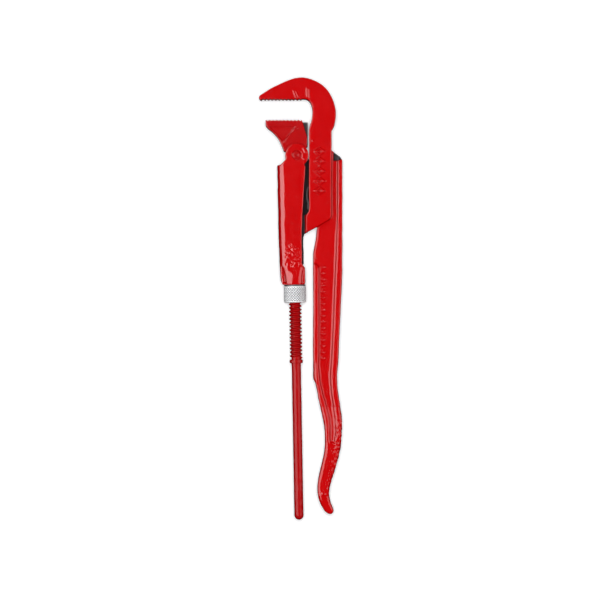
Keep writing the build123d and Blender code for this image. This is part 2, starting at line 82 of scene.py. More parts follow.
def joint_place(name: str) -> Vector:
    """Returns the named joint's position in the frame, in metres."""
    return Vector(next(j["pos_m"] for j in frame["joints"] if j["name"] == name))


def joint_axis(name: str) -> Vector:
    """Returns the named joint's unit axis."""
    return Vector(next(j["axis"] for j in frame["joints"] if j["name"] == name)).normalized()


PIVOT = joint_place("leg_swing")
EYE = joint_place("jaw_tilt")
NUT_MIDDLE = joint_place("nut_spin")
LEG_UP = joint_axis("jaw_slide")
MID_HEIGHT = PIVOT.z


# ---------------------------------------------------------------- node helpers


class Wiring:
    """Adds and joins the nodes of one shader tree."""

    def __init__(self, tree: bpy.types.NodeTree) -> None:
        """Keeps the tree that the nodes go into."""
        self.tree = tree

    def add(self, kind: str, values: dict | None = None, **settings: object) -> bpy.types.Node:
        """Adds a node.

        Args:
            kind: The node's type, without its ShaderNode prefix.
            values: Input values, by socket name or number.
            **settings: Attributes of the node itself.

        Returns:
            The new node.
        """
        node = self.tree.nodes.new(kind if kind.startswith("Node") else f"ShaderNode{kind}")
        for key, value in settings.items():
            setattr(node, key, value)
        for key, value in (values or {}).items():
            node.inputs[key].default_value = value
        return node

    def join(self, source: bpy.types.NodeSocket, target: bpy.types.NodeSocket) -> None:
        """Links one socket to another."""
        self.tree.links.new(source, target)

    def noise(self, vector: bpy.types.NodeSocket, scale: float, detail: float) -> bpy.types.NodeSocket:
        """Adds a noise texture.

        Args:
            vector: Where the noise is read.
            scale: Its features per metre.
            detail: Its octaves.

        Returns:
            The noise's value.
        """
        node = self.add("TexNoise", {"Scale": scale, "Detail": detail, "Roughness": 0.55})
        self.join(vector, node.inputs["Vector"])
        return node.outputs["Fac"]

    def ramp(self, source: bpy.types.NodeSocket, low: float, high: float,
             to_low: float = 0.0, to_high: float = 1.0) -> bpy.types.NodeSocket:
        """Adds a clamped map range.

        Args:
            source: The value to map.
            low: The value that gives to_low.
            high: The value that gives to_high.
            to_low: The first result.
            to_high: The second result.

        Returns:
            The mapped value.
        """
        node = self.add("MapRange", {1: low, 2: high, 3: to_low, 4: to_high})
        self.join(source, node.inputs["Value"])
        return node.outputs["Result"]

    def maths(self, operation: str, first: bpy.types.NodeSocket,
              second: bpy.types.NodeSocket | float) -> bpy.types.NodeSocket:
        """Adds a maths node.

        Args:
            operation: The node's operation.
            first: The first operand.
            second: The second operand, a socket or a number.

        Returns:
            The node's result.
        """
        node = self.add("Math", operation=operation)
        self.join(first, node.inputs[0])
        if isinstance(second, bpy.types.NodeSocket):
            self.join(second, node.inputs[1])
        else:
            node.inputs[1].default_value = second
        return node.outputs["Value"]

    def tint(self, mask: bpy.types.NodeSocket, under: object, over: object) -> bpy.types.NodeSocket:
        """Mixes two colours by a mask.

        Args:
            mask: How much of the second colour shows.
            under: The first colour, a socket or four numbers.
            over: The second colour, a socket or four numbers.

        Returns:
            The mixed colour.
        """
        node = self.add("Mix", data_type="RGBA")
        self.join(mask, node.inputs["Factor"])
        for socket, colour in ((node.inputs[6], under), (node.inputs[7], over)):
            if isinstance(colour, bpy.types.NodeSocket):
                self.join(colour, socket)
            else:
                socket.default_value = colour
        return node.outputs[2]


def new_group(name: str, inputs: dict[str, float], outputs: Sequence[str]) -> tuple:
    """Makes an empty shader node group.

    Args:
        name: The group's name.
        inputs: Float inputs and their defaults.
        outputs: Names of the float outputs.

    Returns:
        The group's wiring, its input node and its output node.
    """
    tree = bpy.data.node_groups.new(name, "ShaderNodeTree")
    for key, value in inputs.items():
        socket = tree.interface.new_socket(key, in_out="INPUT", socket_type="NodeSocketFloat")
        socket.default_value = value
    for key in outputs:
        tree.interface.new_socket(key, in_out="OUTPUT", socket_type="NodeSocketFloat")
    wiring = Wiring(tree)
    return wiring, wiring.add("NodeGroupInput"), wiring.add("NodeGroupOutput")


class Effects:
    """The shared node groups: worn edges and painted shade in hollows, cast skin, and fine scratches."""

    def __init__(self) -> None:
        """Builds each group once."""
        self.edges = self._edges()
        self.skin = self._skin()
        self.scratches = self._scratches()

    @staticmethod
    def _edges() -> bpy.types.NodeTree:
        """Masks of the worn edges, broken up by noise, and of painted shade in hollows and sheltered
        corners.
        """
        wiring, inside, outside = new_group(
            "edges_and_shaded_hollows", {"Edge Start": 0.53, "Edge End": 0.6, "Break Up": 0.5}, ("Edge", "Hollow Shade")
        )
        geometry = wiring.add("NewGeometry")
        point = geometry.outputs["Pointiness"]
        coords = wiring.add("TexCoord").outputs["Object"]
        patchy = wiring.maths("MULTIPLY", wiring.noise(coords, 260, 4), inside.outputs["Break Up"])
        shifted = wiring.maths("SUBTRACT", point, wiring.maths("MULTIPLY", patchy, 0.06))
        edge = wiring.add("MapRange")
        wiring.join(shifted, edge.inputs["Value"])
        wiring.join(inside.outputs["Edge Start"], edge.inputs[1])
        wiring.join(inside.outputs["Edge End"], edge.inputs[2])
        wiring.join(edge.outputs["Result"], outside.inputs["Edge"])
        # Painted shade: ambient occlusion darkens sheltered corners and recesses, and low pointiness
        # darkens creases.
        shelter = wiring.add("AmbientOcclusion", {"Distance": 12.0 * MM}, samples=8, only_local=True)
        corners = wiring.ramp(shelter.outputs["AO"], 0.9, 0.3)
        hollow = wiring.maths("MAXIMUM", wiring.ramp(point, 0.49, 0.4), corners)
        wiring.join(hollow, outside.inputs["Hollow Shade"])
        return wiring.tree

    @staticmethod
    def _skin() -> bpy.types.NodeTree:
        """Height of a painted forging: broad waves, pits and the paint's own texture."""
        wiring, inside, outside = new_group(
            "cast_skin", {"Waves": 1.0, "Pits": 0.4, "Peel": 0.3}, ("Height", "Patches")
        )
        coords = wiring.add("TexCoord").outputs["Object"]
        waves = wiring.noise(coords, 110, 3)
        peel = wiring.noise(coords, 700, 2)
        cells = wiring.add("TexVoronoi", {"Scale": 420.0, "Randomness": 1.0}, feature="SMOOTH_F1")
        wiring.join(coords, cells.inputs["Vector"])
        pits = wiring.ramp(cells.outputs["Distance"], 0.0, 0.35)
        total = wiring.maths("MULTIPLY", waves, inside.outputs["Waves"])
        total = wiring.maths("ADD", total, wiring.maths("MULTIPLY", peel, inside.outputs["Peel"]))
        total = wiring.maths("ADD", total, wiring.maths("MULTIPLY", pits, inside.outputs["Pits"]))
        wiring.join(total, outside.inputs["Height"])
        wiring.join(wiring.noise(coords, 38, 5), outside.inputs["Patches"])
        return wiring.tree

    @staticmethod
    def _scratches() -> bpy.types.NodeTree:
        """Fine marks of a tool, drawn out along one direction."""
        wiring, inside, outside = new_group("tool_marks", {"Fineness": 900.0}, ("Marks",))
        coords = wiring.add("TexCoord").outputs["Object"]
        drawn = wiring.add("Mapping", {"Scale": (1.0, 0.06, 1.0)})
        wiring.join(coords, drawn.inputs["Vector"])
        grain = wiring.add("TexNoise", {"Detail": 4.0})
        wiring.join(drawn.outputs["Vector"], grain.inputs["Vector"])
        wiring.join(inside.outputs["Fineness"], grain.inputs["Scale"])
        wiring.join(grain.outputs["Fac"], outside.inputs["Marks"])
        return wiring.tree


def place_group(wiring: Wiring, tree: bpy.types.NodeTree, values: dict[str, float]) -> bpy.types.Node:
    """Places a node group with its own input values.

    Args:
        wiring: The material's wiring.
        tree: The group.
        values: Its inputs, by name.

    Returns:
        The group's node.
    """
    node = wiring.add("Group", node_tree=tree)
    for key, value in values.items():
        node.inputs[key].default_value = value
    return node


def new_material(name: str) -> tuple:
    """Makes a material with a bare Principled BSDF.

    Args:
        name: The material's name.

    Returns:
        The material, its wiring and its shader node.
    """
    material = bpy.data.materials.new(name)
    material.use_nodes = True
    wiring = Wiring(material.node_tree)
    return material, wiring, material.node_tree.nodes["Principled BSDF"]


def add_bump(wiring: Wiring, shader: bpy.types.Node, height: bpy.types.NodeSocket,
             strength: float, distance: float) -> None:
    """Feeds a height to the shader's normal through a Bump node.

    Args:
        wiring: The material's wiring.
        shader: Its shader.
        height: The height.
        strength: The bump's strength.
        distance: The height's full scale, in metres.
    """
    bump = wiring.add("Bump", {"Strength": strength, "Distance": distance})
    wiring.join(height, bump.inputs["Height"])
    wiring.join(bump.outputs["Normal"], shader.inputs["Normal"])


# ---------------------------------------------------------------- finishes


@dataclass(frozen=True)
class RedEnamel:
    """Thick glossy red paint over a rough forging, with painted shade in its hollows and a painted
    highlight along its edges.
    """

    colour: tuple = (0.55, 0.0012, 0.0022, 1.0)
    bright: tuple = (0.62, 0.005, 0.006, 1.0)
    # The next colour is painted shade, for hollows and sheltered corners.
    shade_colour: tuple = (0.14, 0.0004, 0.0008, 1.0)
    steel: tuple = (0.16, 0.13, 0.13, 1.0)
    roughness: float = 0.33
    waves: float = 1.0
    pits: float = 0.25
    peel: float = 0.16
    bump: float = 0.35
    coat: float = 1.0

    def build(self, name: str, effects: Effects) -> bpy.types.Material:
        """Makes the material.

        Args:
            name: The material's name.
            effects: The shared node groups.

        Returns:
            The material.
        """
        material, wiring, shader = new_material(name)
        edges = place_group(wiring, effects.edges, {"Edge Start": 0.545, "Edge End": 0.62})
        chips = place_group(
            wiring, effects.edges, {"Edge Start": 0.63, "Edge End": 0.645, "Break Up": 1.6}
        )
        skin = place_group(
            wiring, effects.skin, {"Waves": self.waves, "Pits": self.pits, "Peel": self.peel}
        )
        patches = skin.outputs["Patches"]
        body = wiring.tint(wiring.ramp(patches, 0.3, 0.75, 0.0, 0.55), self.colour, self.bright)
        # Lighter on convex edges: the paint is thinner there, and this is also a painted highlight along
        # the edges.
        thin_paint_and_highlight = wiring.tint(wiring.maths("MULTIPLY", edges.outputs["Edge"], 0.45), body, self.bright)
        # Painted shade: hollows and sheltered corners turn a dark red.
        shaded_hollows = wiring.tint(wiring.maths("MULTIPLY", edges.outputs["Hollow Shade"], 0.85), thin_paint_and_highlight, self.shade_colour)
        bare = wiring.tint(chips.outputs["Edge"], shaded_hollows, self.steel)
        wiring.join(bare, shader.inputs["Base Color"])
        rough = wiring.ramp(patches, 0.25, 0.8, self.roughness - 0.05, self.roughness + 0.1)
        wiring.join(rough, shader.inputs["Roughness"])
        wiring.join(wiring.maths("MULTIPLY", chips.outputs["Edge"], 0.8), shader.inputs["Metallic"])
        shader.inputs["Specular IOR Level"].default_value = 0.0
        shader.inputs["Coat Weight"].default_value = self.coat
        shader.inputs["Coat Roughness"].default_value = 0.07
        add_bump(wiring, shader, skin.outputs["Height"], self.bump, 0.0006)
        return material


@dataclass(frozen=True)
class PlatedSteel:
    """Steel with a plated, blackened or bare surface, fine tool marks and painted shade in its hollows."""

    colour: tuple
    worn: tuple
    # The next colour is painted shade, for hollows and sheltered corners.
    hollow: tuple
    roughness: float
    metallic: float
    fineness: float = 900.0
    bump: float = 0.15

    def build(self, name: str, effects: Effects) -> bpy.types.Material:
        """Makes the material.

        Args:
            name: The material's name.
            effects: The shared node groups.

        Returns:
            The material.
        """
        material, wiring, shader = new_material(name)
        edges = place_group(wiring, effects.edges, {"Edge Start": 0.52, "Edge End": 0.6})
        skin = place_group(wiring, effects.skin, {"Waves": 0.3, "Pits": 0.2, "Peel": 0.5})
        marks = place_group(wiring, effects.scratches, {"Fineness": self.fineness}).outputs["Marks"]
        body = wiring.tint(wiring.ramp(marks, 0.35, 0.7, 0.0, 0.4), self.colour, self.worn)
        rubbed = wiring.tint(edges.outputs["Edge"], body, self.worn)
        # Painted shade: hollows and sheltered corners take the darker colour.
        wiring.join(wiring.tint(edges.outputs["Hollow Shade"], rubbed, self.hollow), shader.inputs["Base Color"])
        rough = wiring.ramp(marks, 0.3, 0.75, self.roughness - 0.08, self.roughness + 0.14)
        wiring.join(rough, shader.inputs["Roughness"])
        shader.inputs["Metallic"].default_value = self.metallic
        height = wiring.maths("ADD", marks, skin.outputs["Height"])
        add_bump(wiring, shader, height, self.bump, 0.0003)
        return material


@dataclass(frozen=True)
class StudioPaper:
    """The pale paper that the wrench lies on."""

    colour: tuple = (0.76, 0.76, 0.765, 1.0)
    shade: tuple = (0.73, 0.73, 0.735, 1.0)
    glow: float = 0.35

    def build(self, name: str) -> bpy.types.Material:
        """Makes the floor's material, with a faint paper grain.

        Args:
            name: The material's name.

        Returns:
            The material.
        """
        material, wiring, shader = new_material(name)
        coords = wiring.add("TexCoord").outputs["Object"]
        fibres = wiring.noise(coords, 400, 4)
        wiring.join(wiring.tint(fibres, self.colour, self.shade), shader.inputs["Base Color"])
        wiring.join(wiring.ramp(fibres, 0.2, 0.8, 0.75, 0.9), shader.inputs["Roughness"])
        shader.inputs["Emission Color"].default_value = (1.0, 1.0, 1.0, 1.0)
        shader.inputs["Emission Strength"].default_value = self.glow
        add_bump(wiring, shader, fibres, 0.05, 0.0002)
        return material


class Finishes:
    """Every material of the wrench, each made once."""

    def __init__(self, effects: Effects) -> None:
        """Builds the materials from the shared effects."""
        self.forged = RedEnamel(coat=0.68).build("red_enamel_forged", effects)
        # The jaw's red is darker than the forged paint: painted shade.
        self.shaded = RedEnamel(
            colour=(0.45, 0.0022, 0.0035, 1.0), bright=(0.54, 0.011, 0.012, 1.0)
        ).build("red_enamel_jaw_shaded", effects)
        self.pressed = RedEnamel(waves=1.2, pits=0.12, peel=0.2).build("red_enamel_pressed", effects)
        # Its red is darker than the forged paint: painted shade on the round leg, the rivet and the stop
        # ring.
        self.turned = RedEnamel(
            colour=(0.43, 0.0022, 0.0035, 1.0), bright=(0.5, 0.01, 0.012, 1.0),
            waves=0.35, pits=0.08, peel=0.2, bump=0.22, coat=0.28,
        ).build("red_enamel_turned_shaded", effects)
        self.zinc = PlatedSteel(
            (0.94, 0.95, 0.97, 1.0), (1.0, 1.0, 1.0, 1.0), (0.5, 0.51, 0.54, 1.0), 0.35, 0.15
        ).build("zinc_plate", effects)
        # The knurl's grooves: a near-black colour that is painted shade.
        self.grooves = PlatedSteel(
            (0.07, 0.07, 0.08, 1.0), (0.2, 0.2, 0.21, 1.0), (0.02, 0.02, 0.022, 1.0), 0.5, 0.2
        ).build("zinc_groove_shade", effects)
        # Blackened steel for the small hardware; the forgings and the sleeve also take it as painted shade
        # in slots and gaps.
        self.dark_steel_and_shade = PlatedSteel(
            (0.022, 0.016, 0.018, 1.0), (0.09, 0.075, 0.08, 1.0), (0.006, 0.005, 0.006, 1.0),
            0.42, 0.5, 700.0,
        ).build("dark_steel", effects)
        self.bare = PlatedSteel(
            (0.05, 0.042, 0.045, 1.0), (0.14, 0.125, 0.13, 1.0), (0.012, 0.01, 0.011, 1.0),
            0.36, 0.6, 1100.0, 0.3,
        ).build("ground_steel", effects)


# ---------------------------------------------------------------- relief


def soft_step(value: np.ndarray, low: float, high: float) -> np.ndarray:
    """Returns 0 below low, 1 above high and a smooth rise between."""
    t = np.clip((value - low) / (high - low), 0.0, 1.0)
    return t * t * (3.0 - 2.0 * t)


def noise_at(points: np.ndarray, scale: float, octaves: int = 2) -> np.ndarray:
    """Returns fractal noise from about -1 to 1 at each point, with features 1/scale metres across."""
    return np.array([noise.fractal(Vector(p) * scale, 0.7, 2.0, octaves) for p in points])


@dataclass(frozen=True)
class Lozenges:
    """A row of raised outlined lozenges on both faces, a plain ornament."""

    start: tuple
    step: tuple
    count: int
    half_size: tuple
    height: float
    hollow: float = 0.42

    def lift(self, co: np.ndarray, normal: np.ndarray) -> np.ndarray:
        """Works out how far each point rises along its normal.

        Args:
            co: The points, one a row.
            normal: Their unit normals.

        Returns:
            Each point's rise, in metres.
        """
        total = np.zeros(len(co))
        flat = np.abs(normal[:, 2]) > 0.75
        for index in range(self.count):
            dx = np.abs(co[:, 0] - self.start[0] - index * self.step[0]) / self.half_size[0]
            dy = np.abs(co[:, 1] - self.start[1] - index * self.step[1]) / self.half_size[1]
            reach = dx + dy
            outer = soft_step(-reach, -1.1, -0.78)
            rim = outer * soft_step(reach, self.hollow - 0.12, self.hollow + 0.22)
            total = np.maximum(total, rim)
        return total * flat * self.height


@dataclass(frozen=True)
class Scar:
    """A raised or sunk line left on one face by the forging die."""

    start: tuple
    end: tuple
    width: float
    height: float
    up: float = 1.0

    def lift(self, co: np.ndarray, normal: np.ndarray) -> np.ndarray:
        """Works out how far each point rises along its normal.

        Args:
            co: The points, one a row.
            normal: Their unit normals.

        Returns:
            Each point's rise, in metres.
        """
        a, b = np.array(self.start), np.array(self.end)
        run = b - a
        t = np.clip((co[:, :2] - a) @ run / (run @ run), 0.0, 1.0)
        away = np.linalg.norm(co[:, :2] - a - t[:, None] * run, axis=1)
        facing = soft_step(normal[:, 2] * self.up, 0.3, 0.8)
        return self.height * facing * np.exp(-((away / self.width) ** 2))


@dataclass(frozen=True)
class Panel:
    """A polygon sunk into, or raised from, both faces, with soft edges."""

    corners: tuple
    height: float
    softness: float

    def depth_inside(self, co: np.ndarray) -> np.ndarray:
        """Works out how far each point is inside the outline.

        Args:
            co: The points, one a row.

        Returns:
            Each point's depth inside, negative outside.
        """
        inside = np.full(len(co), np.inf)
        loop = list(self.corners) + [self.corners[0]]
        for (x0, y0), (x1, y1) in zip(loop, loop[1:]):
            length = math.hypot(x1 - x0, y1 - y0)
            side = ((x1 - x0) * (co[:, 1] - y0) - (y1 - y0) * (co[:, 0] - x0)) / length
            inside = np.minimum(inside, side)
        return inside

    def holds(self, point: Vector) -> bool:
        """Tells whether one point is inside the outline."""
        return bool(self.depth_inside(np.array([point]))[0] > 0.0)

    def lift(self, co: np.ndarray, normal: np.ndarray) -> np.ndarray:
        """Works out how far each point rises along its normal.

        Args:
            co: The points, one a row.
            normal: Their unit normals.

        Returns:
            Each point's rise, in metres.
        """
        facing = soft_step(np.abs(normal[:, 2]), 0.3, 0.8)
        return self.height * facing * soft_step(self.depth_inside(co), -self.softness, self.softness)


@dataclass(frozen=True)
class Pebbles:
    """Lumpy skin inside a box, fading out at its ends, or only to the right of a line across it."""

    low: tuple
    high: tuple
    size: float
    height: float
    line: tuple | None = None

    def lift(self, co: np.ndarray, normal: np.ndarray) -> np.ndarray:
        """Works out how far each point rises along its normal.

        Args:
            co: The points, one a row.
            normal: Their unit normals.

        Returns:
            Each point's rise, in metres.
        """
        fade = np.ones(len(co))
        for axis in range(2):
            span = self.high[axis] - self.low[axis]
            edge = np.minimum(co[:, axis] - self.low[axis], self.high[axis] - co[:, axis])
            fade *= soft_step(edge, 0.0, 0.22 * span)
        if self.line:
            (x0, y0), (x1, y1) = self.line
            side = co[:, 0] - x0 - (co[:, 1] - y0) * (x1 - x0) / (y1 - y0)
            fade *= soft_step(side, -2.0 * MM, 2.0 * MM)
        total = np.zeros(len(co))
        held = np.flatnonzero(fade > 0.01)
        total[held] = noise_at(co[held], 1.0 / self.size, 3) * fade[held]
        return total * self.height


@dataclass(frozen=True)
class Unevenness:
    """The slight waviness of a hammered or dipped surface, all over a piece."""

    size: float
    height: float

    def lift(self, co: np.ndarray, normal: np.ndarray) -> np.ndarray:
        """Works out how far each point rises along its normal.

        Args:
            co: The points, one a row.
            normal: Their unit normals.

        Returns:
            Each point's rise, in metres.
        """
        return noise_at(co, 1.0 / self.size, 2) * self.height


@dataclass(frozen=True)
class RoundedSocket:
    """Draws the pressed socket's flat faces in to a rounder section about the leg."""

    start: float
    full: float
    depth: float
    half_width: float
    flat_from: float = 7.5 * MM

    def lift(self, co: np.ndarray, normal: np.ndarray) -> np.ndarray:
        """Works out how far each point rises along its normal.

        Args:
            co: The points, one a row.
            normal: Their unit normals.

        Returns:
            Each point's rise, in metres.
        """
        along = (co - np.array(NUT_MIDDLE)) @ np.array(LEG_UP)
        across = co[:, 0] - NUT_MIDDLE.x - along * LEG_UP.x
        away = np.clip(np.abs(across) / self.half_width, 0.0, 1.2)
        outer = np.abs(co[:, 2] - MID_HEIGHT) > self.flat_from
        facing = soft_step(np.abs(normal[:, 2]), 0.2, 0.7) * outer
        return -self.depth * facing * away**2 * soft_step(-along, -self.start, -self.full)


# ---------------------------------------------------------------- mesh helpers


def cad_copy(node: str) -> bmesh.types.BMesh:
    """Copies a CAD node's mesh and joins its loose triangles.

    Args:
        node: The node's name.

    Returns:
        The copy.
    """
    bm = bmesh.new()
    bm.from_mesh(frame["nodes"][node].data)
    bmesh.ops.remove_doubles(bm, verts=bm.verts, dist=1e-7)
    return bm


def evaluated(bm: bmesh.types.BMesh, kind: str, **settings: object) -> bmesh.types.BMesh:
    """Runs one modifier over a mesh.

    Args:
        bm: The mesh, which is freed.
        kind: The modifier's type.
        **settings: The modifier's settings.

    Returns:
        The resulting mesh.
    """
    mesh = bpy.data.meshes.new("work")
    bm.to_mesh(mesh)
    bm.free()
    holder = bpy.data.objects.new("work", mesh)
    bpy.context.scene.collection.objects.link(holder)
    modifier = holder.modifiers.new("work", kind)
    for key, value in settings.items():
        setattr(modifier, key, value)
    result = bmesh.new()
    result.from_object(holder, bpy.context.evaluated_depsgraph_get())
    bpy.data.objects.remove(holder)
    bpy.data.meshes.remove(mesh)
    return result


def smooth_where(bm: bmesh.types.BMesh, rounds: int, wanted: Callable[[Vector], bool]) -> None:
    """Smooths the vertices that a test picks.

    Args:
        bm: The mesh.
        rounds: How many times.
        wanted: The test of a vertex's place.
    """
    picked = [v for v in bm.verts if wanted(v.co)]
    for _ in range(rounds):
        bmesh.ops.smooth_vert(
            bm, verts=picked, factor=0.5, use_axis_x=True, use_axis_y=True, use_axis_z=True
        )


def apply_relief(bm: bmesh.types.BMesh, features: Sequence[object], keep: Callable | None = None) -> None:
    """Moves each vertex along its normal by the sum of the features' lifts.

    Args:
        bm: The mesh.
        features: Relief features, each with a lift method.
        keep: Picks the vertices that may move, or None for all of them.
    """
    bm.normal_update()
    verts = [v for v in bm.verts if keep is None or keep(v.co)]
    co = np.array([v.co for v in verts])
    normal = np.array([v.normal for v in verts])
    lift = sum(feature.lift(co, normal) for feature in features)
    for vert, offset in zip(verts, lift):
        vert.co += vert.normal * float(offset)


def thin_out(bm: bmesh.types.BMesh, triangles: int) -> bmesh.types.BMesh:
    """Collapses edges on the flatter faces of a mesh that has too many triangles.

    Args:
        bm: The mesh, which is freed if it is thinned.
        triangles: The most that it may have.

    Returns:
        The mesh, or the thinner one.
    """
    count = sum(len(f.verts) - 2 for f in bm.faces)
    if count <= triangles:
        return bm
    return evaluated(bm, "DECIMATE", ratio=triangles / count)


def add_piece(bm: bmesh.types.BMesh, name: str, body: Body,
              materials: Sequence[bpy.types.Material], nodes: Sequence[str]) -> bpy.types.Object:
    """Makes a finished piece from a mesh and puts it in the frame.

    Args:
        bm: The mesh, which is freed.
        name: The piece's name.
        body: The body that it rides on.
        materials: Its materials, in the order of the faces' indices.
        nodes: CAD nodes that it stands for.

    Returns:
        The piece.
    """
    for face in bm.faces:
        face.smooth = True
    mesh = bpy.data.meshes.new(name)
    bm.to_mesh(mesh)
    bm.free()
    piece = bpy.data.objects.new(name, mesh)
    bpy.context.scene.collection.objects.link(piece)
    for material in materials:
        mesh.materials.append(material)
    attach(piece, body.value)
    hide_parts(*nodes)
    LOG.info("%s: %d faces on %s", name, len(mesh.polygons), body.value)
    return piece


def dress_node(node: str, material: bpy.types.Material) -> None:
    """Gives a CAD node that stays its finish.

    Args:
        node: The node's name.
        material: Its material.
    """
    piece = frame["nodes"][node]
    piece.data.materials.clear()
    piece.data.materials.append(material)
    LOG.info("%s: CAD shape kept", node)


def turned(profile: Sequence[tuple[float, float]], steps: int) -> bmesh.types.BMesh:
    """Spins a closed profile about Z.

    Args:
        profile: Points of radius and height, in metres, round the section.
        steps: Steps round the full turn.

    Returns:
        The turned mesh.
    """
    bm = bmesh.new()
    verts = [bm.verts.new((radius, 0.0, height)) for radius, height in profile]
    closing = profile[0][0] > 0.0 or profile[-1][0] > 0.0
    pairs = list(zip(verts, verts[1:])) + ([(verts[-1], verts[0])] if closing else [])
    edges = [bm.edges.new(pair) for pair in pairs]
    bmesh.ops.spin(
        bm, geom=verts + edges, cent=(0, 0, 0), axis=(0, 0, 1), dvec=(0, 0, 0),
        angle=2 * math.pi, steps=steps, use_merge=True, use_duplicate=False,
    )
    bmesh.ops.remove_doubles(bm, verts=bm.verts, dist=1e-7)
    bmesh.ops.recalc_face_normals(bm, faces=bm.faces)
    return bm


def sampled(start: float, end: float, count: int) -> list[float]:
    """Returns count + 1 evenly spaced numbers from start to end."""
    return [start + (end - start) * index / count for index in range(count + 1)]


def fineness(full: float) -> float:
    """Returns the voxel size as given."""
    return full


# ---------------------------------------------------------------- sub-assemblies


@dataclass
class HookLeg:
    """The forging of hook jaw, shank, toe and I-beam handle."""

    finishes: Finishes
    voxel: float = 0.52 * MM
    most_triangles: int = 185_000
    teeth_height: float = 119.2 * MM
    tooth_depth: float = 1.7 * MM
    shank_edge: float = 14.8 * MM
    handle_top: float = 6.0 * MM
    grip_top: float = 178.0 * MM
    tooth_margin: float = 0.6 * MM
    throat_set_back: float = 4.0 * MM
    tongue_half: float = 3.5 * MM
    tongue_out: float = 11.0 * MM
    tongue_reach: float = 20.0 * MM
    bend_offset: tuple = (17.5, -150.8, 0.0)
    bend_half: tuple = (4.2 * MM, 16.0 * MM)

    def ramp_corners(self) -> tuple:
        """Returns the corners of the slanted end of the back rib."""
        px, py = PIVOT.x, PIVOT.y
        return (
            (px + 38.6 * MM, py + 60.4 * MM), (px + 43.4 * MM, py + 60.6 * MM),
            (px + 48.4 * MM, py + 62.4 * MM), (px + 42.0 * MM, py + 74.0 * MM),
            (px + 38.6 * MM, py + 74.0 * MM),
        )

    def relief(self) -> list:
        """Returns the forging's relief: ornament, die scars, pebbled grip and waviness."""
        px, py = PIVOT.x, PIVOT.y
        shank_row = Lozenges(
            (px + 25.2 * MM, py + 69.2 * MM), (0.0, -9.55 * MM), 5, (5.8 * MM, 4.5 * MM), 1.1 * MM
        )
        web_row = Lozenges(
            (px + 28.6 * MM, py - 43.0 * MM), (0.0, -5.9 * MM), 16, (3.1 * MM, 2.5 * MM), 0.6 * MM, 0.3
        )
        scars = [
            Scar((px - 0.2 * MM, py + 128.0 * MM), (px + 2.4 * MM, py + 121.8 * MM), 0.55 * MM, 0.55 * MM),
            Scar((px + 2.0 * MM, py + 127.6 * MM), (px + 4.6 * MM, py + 122.2 * MM), 0.6 * MM, 0.6 * MM),
            Scar((px + 12.6 * MM, py + 130.6 * MM), (px + 13.0 * MM, py + 122.5 * MM), 0.6 * MM, 0.6 * MM),
            Scar((px + 14.4 * MM, py + 130.0 * MM), (px + 15.0 * MM, py + 121.5 * MM), 0.5 * MM, 0.5 * MM),
            Scar((px + 17.8 * MM, py + 110.2 * MM), (px + 18.2 * MM, py + 110.0 * MM), 0.8 * MM, 0.45 * MM),
            Scar((px + 18.2 * MM, py + 79.8 * MM), (px + 18.8 * MM, py + 79.0 * MM), 0.9 * MM, 0.55 * MM),
            Scar((px + 21.2 * MM, py - 34.2 * MM), (px + 21.6 * MM, py - 34.6 * MM), 1.0 * MM, 0.6 * MM),
            Scar((px + 28.6 * MM, py - 263.2 * MM), (px + 29.4 * MM, py - 263.6 * MM), 1.1 * MM, 0.8 * MM),
            Scar((px + 33.0 * MM, py - 257.0 * MM), (px + 33.8 * MM, py - 264.0 * MM), 0.7 * MM, 0.5 * MM),
        ]
        grip = Pebbles(
            (px + 10.0 * MM, py - 268.0 * MM), (px + 70.0 * MM, py - 178.0 * MM), 2.8 * MM, 0.55 * MM,
            ((px + 41.1 * MM, py - 196.5 * MM), (px + 30.5 * MM, py - 261.7 * MM)),
        )
        bend = Pebbles(
            (px + 14.0 * MM, py - 215.0 * MM), (px + 60.0 * MM, py - 120.0 * MM), 9.0 * MM, 0.22 * MM
        )
        ramp = Panel(self.ramp_corners(), -1.6 * MM, 0.6 * MM)
        return [shank_row, web_row, *scars, grip, bend, ramp, Unevenness(16.0 * MM, 0.24 * MM)]

    def build(self) -> None:
        """Skins, rounds, carves and paints the forging."""
        bm = evaluated(cad_copy("hook_leg"), "REMESH", mode="VOXEL", voxel_size=fineness(self.voxel))
        low_tooth = PIVOT.y + self.teeth_height - self.tooth_margin
        high_tooth = PIVOT.y + self.teeth_height + self.tooth_depth + self.tooth_margin
        throat = PIVOT.x + self.shank_edge - self.throat_set_back
        handle = PIVOT.y - self.handle_top
        bend = PIVOT + Vector(self.bend_offset) * MM

        def is_tooth(co: Vector) -> bool:
            """Tells whether a point is on the teeth."""
            return low_tooth < co.y < high_tooth and co.x < throat

        def is_front_bend(co: Vector) -> bool:
            """Tells whether a point is where the handle's front edge bends."""
            return abs(co.x - bend.x) < self.bend_half[0] and abs(co.y - bend.y) < self.bend_half[1]

        rounds = 9
        smooth_where(bm, 1, is_tooth)
        smooth_where(bm, rounds, lambda co: not is_tooth(co))
        smooth_where(bm, 2 * rounds, lambda co: co.y < handle)
        smooth_where(bm, 5 * rounds, lambda co: co.y < PIVOT.y - self.grip_top)
        smooth_where(bm, 10 * rounds, is_front_bend)
        apply_relief(bm, self.relief(), lambda co: not is_tooth(co))
        bm = thin_out(bm, self.most_triangles)
